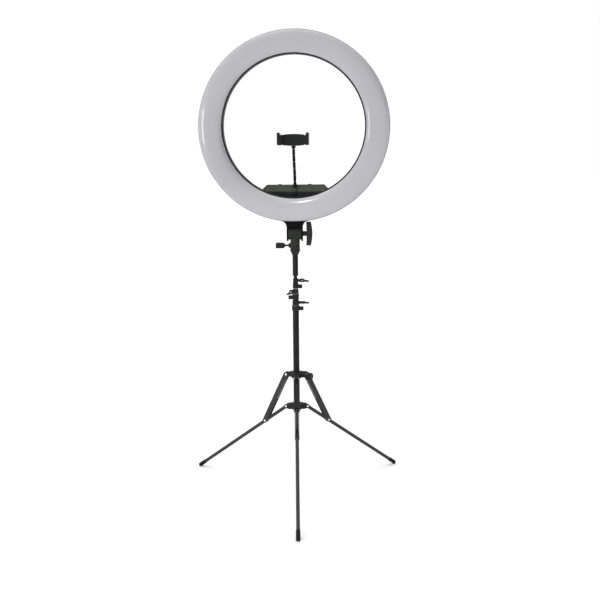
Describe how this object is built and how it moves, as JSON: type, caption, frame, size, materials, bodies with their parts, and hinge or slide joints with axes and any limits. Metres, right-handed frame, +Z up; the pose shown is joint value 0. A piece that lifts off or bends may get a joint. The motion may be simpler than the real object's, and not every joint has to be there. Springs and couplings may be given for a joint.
{
  "type": "ring light on a stand",
  "caption": "Large ring light with a phone holder on a gooseneck, a tilting head and rear controls, on a telescoping stand with reverse-folding legs.",
  "frame": {"origin": "centre of the open stand's footprint, on the floor", "axes": "+Z up; the lamp faces -Y, turned 5 degrees towards -X; one leg points along -Y"},
  "size_m": [0.6092, 0.5292, 1.31],
  "materials": {
    "housing": "fine-textured moulded black",
    "diffuser": "glossy milky grey-white, slightly lavender",
    "board": "white solder mask",
    "led": "yellow phosphor in a white frame",
    "screw_steel": "blackened zinc",
    "box": "matte olive-dark-grey moulding",
    "cover": "fine-textured black",
    "circuit": "green solder mask",
    "window": "smoked, polished",
    "knob": "soft black",
    "button": "soft dark grey",
    "bracket": "high-gloss black",
    "neck": "satin black sleeve",
    "holder": "satin charcoal",
    "pad": "ribbed soft rubber",
    "spring": "drawn spring wire",
    "socket": "matte dark grey, glass-filled",
    "zinc_bolt": "bright zinc",
    "tube": "semi-gloss near-black charcoal",
    "collar": "satin black",
    "wing": "satin black",
    "rivet": "bright nickel",
    "rubber": "matte black rubber"
  },
  "bodies": {
    "base": {"leg_hub": "collar", "hub_plug": "collar", "hub_rivets": "rivet", "tube_bottom": "tube", "collar_lower": "collar"},
    "slider": {"slider": "collar"},
    "slider_knob": {"slider_knob": "wing"},
    "leg_front": {"leg_front": "tube", "foot_front": "rubber"},
    "leg_right": {"leg_right": "tube", "foot_right": "rubber"},
    "leg_left": {"leg_left": "tube", "foot_left": "rubber"},
    "strut_front": {"strut_front": "tube", "rivets_front": "rivet"},
    "strut_right": {"strut_right": "tube", "rivets_right": "rivet"},
    "strut_left": {"strut_left": "tube", "rivets_left": "rivet"},
    "mast_middle": {"tube_middle": "tube", "collar_middle": "collar"},
    "mast_upper": {"tube_upper": "tube", "collar_upper": "collar"},
    "mast_top": {"tube_top": "tube", "spigot": "tube"},
    "wing_lower": {"wing_lower": "wing"},
    "wing_middle": {"wing_middle": "wing"},
    "wing_upper": {"wing_upper": "wing"},
    "swivel": {"swivel_socket": "socket"},
    "socket_screw": {"socket_screw": "wing"},
    "lamp_head": {"rear_housing": "housing", "diffuser": "diffuser", "led_boards": "board", "led_chips": "led", "back_screws": "screw_steel", "control_box": "box", "box_cover": "cover", "driver_board": "circuit", "dc_inlet": "knob", "display_window": "window", "tilt_bracket": "bracket", "tilt_nut": "zinc_bolt", "neck_ferrule": "neck"},
    "tilt_knob": {"tilt_bolt": "zinc_bolt", "tilt_knob": "knob"},
    "brightness_knob": {"brightness_knob": "knob"},
    "colour_knob": {"colour_knob": "knob"},
    "power_button": {"power_button": "button"},
    "mode_button": {"mode_button": "button"},
    "neck_link_1": {"neck_link_1": "neck"},
    "neck_link_2": {"neck_link_2": "neck"},
    "neck_link_3": {"neck_link_3": "neck"},
    "neck_link_4": {"neck_link_4": "neck"},
    "neck_link_5": {"neck_link_5": "neck"},
    "holder_socket": {"holder_socket": "neck"},
    "holder": {"holder_body": "holder", "fixed_pad": "pad", "holder_spring": "spring"},
    "holder_jaw": {"holder_jaw": "holder", "jaw_pad": "pad"}
  },
  "joints": [
    {"name": "leg_front_fold", "type": "hinge", "parent": "base", "child": "leg_front", "pos_m": [0, 0.05427, 0.2335], "axis": [-1, 0, 0], "range_deg": [0, 123.3]},
    {"name": "leg_right_fold", "type": "hinge", "parent": "base", "child": "leg_right", "pos_m": [0.02771, 0.10227, 0.2335], "axis": [0.5, -0.866, 0], "range_deg": [0, 123.3]},
    {"name": "leg_left_fold", "type": "hinge", "parent": "base", "child": "leg_left", "pos_m": [-0.02771, 0.10227, 0.2335], "axis": [0.5, 0.866, 0], "range_deg": [0, 123.3]},
    {"name": "strut_front_swing", "type": "hinge", "parent": "leg_front", "child": "strut_front", "pos_m": [0, -0.01958, 0.17965], "axis": [-1, 0, 0], "range_deg": [-148.72, 0]},
    {"name": "strut_right_swing", "type": "hinge", "parent": "leg_right", "child": "strut_right", "pos_m": [0.09167, 0.13919, 0.17965], "axis": [0.5, -0.866, 0], "range_deg": [-148.72, 0]},
    {"name": "strut_left_swing", "type": "hinge", "parent": "leg_left", "child": "strut_left", "pos_m": [-0.09167, 0.13919, 0.17965], "axis": [0.5, 0.866, 0], "range_deg": [-148.72, 0]},
    {"name": "slider_travel", "type": "slide", "parent": "base", "child": "slider", "axis": [0, 0, 1], "range_m": [0, 0.16296]},
    {"name": "slider_knob_turn", "type": "hinge", "parent": "slider", "child": "slider_knob", "pos_m": [0.02598, 0.07127, 0.328], "axis": [0.866, -0.5, 0], "range_deg": [0, 270]},
    {"name": "mast_middle_slide", "type": "slide", "parent": "base", "child": "mast_middle", "axis": [0, 0, 1], "range_m": [0, 0.26]},
    {"name": "mast_upper_slide", "type": "slide", "parent": "mast_middle", "child": "mast_upper", "axis": [0, 0, 1], "range_m": [0, 0.26]},
    {"name": "mast_top_slide", "type": "slide", "parent": "mast_upper", "child": "mast_top", "axis": [0, 0, 1], "range_m": [0, 0.26]},
    {"name": "wing_lower_turn", "type": "hinge", "parent": "base", "child": "wing_lower", "pos_m": [0.012, 0.08627, 0.53715], "axis": [1, 0, 0], "range_deg": [0, 270]},
    {"name": "wing_middle_turn", "type": "hinge", "parent": "mast_middle", "child": "wing_middle", "pos_m": [-0.00771, 0.07708, 0.5697], "axis": [-0.6428, -0.766, 0], "range_deg": [0, 270]},
    {"name": "wing_upper_turn", "type": "hinge", "parent": "mast_upper", "child": "wing_upper", "pos_m": [0.012, 0.08627, 0.60075], "axis": [1, 0, 0], "range_deg": [0, 270]},
    {"name": "pan", "type": "hinge", "parent": "mast_top", "child": "swivel", "pos_m": [0, 0.08627, 0.69], "axis": [0, 0, 1], "continuous": true},
    {"name": "socket_screw_turn", "type": "hinge", "parent": "swivel", "child": "socket_screw", "pos_m": [-0.02989, 0.08888, 0.701], "axis": [-0.9962, 0.0872, 0], "range_deg": [0, 270]},
    {"name": "tilt", "type": "hinge", "parent": "swivel", "child": "lamp_head", "pos_m": [0, 0.08627, 0.735], "axis": [0.9962, -0.0872, 0], "range_deg": [-90, 90]},
    {"name": "tilt_knob_turn", "type": "hinge", "parent": "lamp_head", "child": "tilt_knob", "pos_m": [0.02989, 0.08365, 0.735], "axis": [0.9962, -0.0872, 0], "range_deg": [0, 270]},
    {"name": "brightness_turn", "type": "hinge", "parent": "lamp_head", "child": "brightness_knob", "pos_m": [-0.05047, 0.14047, 0.83], "axis": [0.0872, 0.9962, 0], "range_deg": [-150, 150]},
    {"name": "colour_turn", "type": "hinge", "parent": "lamp_head", "child": "colour_knob", "pos_m": [0.05911, 0.13089, 0.83], "axis": [0.0872, 0.9962, 0], "range_deg": [-150, 150]},
    {"name": "power_press", "type": "slide", "parent": "lamp_head", "child": "power_button", "axis": [0, 0, -1], "range_m": [0, 0.0012], "stiffness_N_per_m": 500, "springref_m": -0.001},
    {"name": "mode_press", "type": "slide", "parent": "lamp_head", "child": "mode_button", "axis": [0, 0, -1], "range_m": [0, 0.0012], "stiffness_N_per_m": 500, "springref_m": -0.001},
    {"name": "neck_bend_1", "type": "hinge", "parent": "lamp_head", "child": "neck_link_1", "pos_m": [0.00122, 0.10022, 0.883], "axis": [0.9962, -0.0872, 0], "range_deg": [-12, 12]},
    {"name": "neck_bend_2", "type": "hinge", "parent": "neck_link_1", "child": "neck_link_2", "pos_m": [0.00093, 0.10024, 0.9015], "axis": [0.9962, -0.0872, 0], "range_deg": [-12, 12]},
    {"name": "neck_bend_3", "type": "hinge", "parent": "neck_link_2", "child": "neck_link_3", "pos_m": [0.00024, 0.1003, 0.92], "axis": [0.9962, -0.0872, 0], "range_deg": [-12, 12]},
    {"name": "neck_bend_4", "type": "hinge", "parent": "neck_link_3", "child": "neck_link_4", "pos_m": [-0.00059, 0.10037, 0.9385], "axis": [0.9962, -0.0872, 0], "range_deg": [-12, 12]},
    {"name": "neck_bend_5", "type": "hinge", "parent": "neck_link_4", "child": "neck_link_5", "pos_m": [-0.00128, 0.10043, 0.957], "axis": [0.9962, -0.0872, 0], "range_deg": [-12, 12]},
    {"name": "neck_bend_6", "type": "hinge", "parent": "neck_link_5", "child": "holder_socket", "pos_m": [-0.00157, 0.10046, 0.9755], "axis": [0.9962, -0.0872, 0], "range_deg": [-12, 12]},
    {"name": "holder_swivel", "type": "hinge", "parent": "holder_socket", "child": "holder", "pos_m": [-0.00157, 0.10046, 0.9841], "axis": [0, 0, 1], "range_deg": [-90, 90]},
    {"name": "jaw_open", "type": "slide", "parent": "holder", "child": "holder_jaw", "axis": [0.9962, -0.0872, 0], "range_m": [0, 0.03], "stiffness_N_per_m": 120, "springref_m": -0.02, "deforming": ["holder_spring"]}
  ],
  "couplings": [
    {"joint": "leg_right_fold", "follows": "leg_front_fold", "ratio": 1},
    {"joint": "leg_left_fold", "follows": "leg_front_fold", "ratio": 1},
    {"joint": "strut_front_swing", "follows": "leg_front_fold", "ratio": -1.2045},
    {"joint": "strut_right_swing", "follows": "leg_front_fold", "ratio": -1.2045},
    {"joint": "strut_left_swing", "follows": "leg_front_fold", "ratio": -1.2045},
    {"joint": "slider_travel", "follows": "leg_front_fold", "m_per_rad": 0.075586},
    {"joint": "neck_bend_2", "follows": "neck_bend_1", "ratio": 1},
    {"joint": "neck_bend_3", "follows": "neck_bend_1", "ratio": 1},
    {"joint": "neck_bend_4", "follows": "neck_bend_1", "ratio": 1},
    {"joint": "neck_bend_5", "follows": "neck_bend_1", "ratio": 1},
    {"joint": "neck_bend_6", "follows": "neck_bend_1", "ratio": 1}
  ]
}
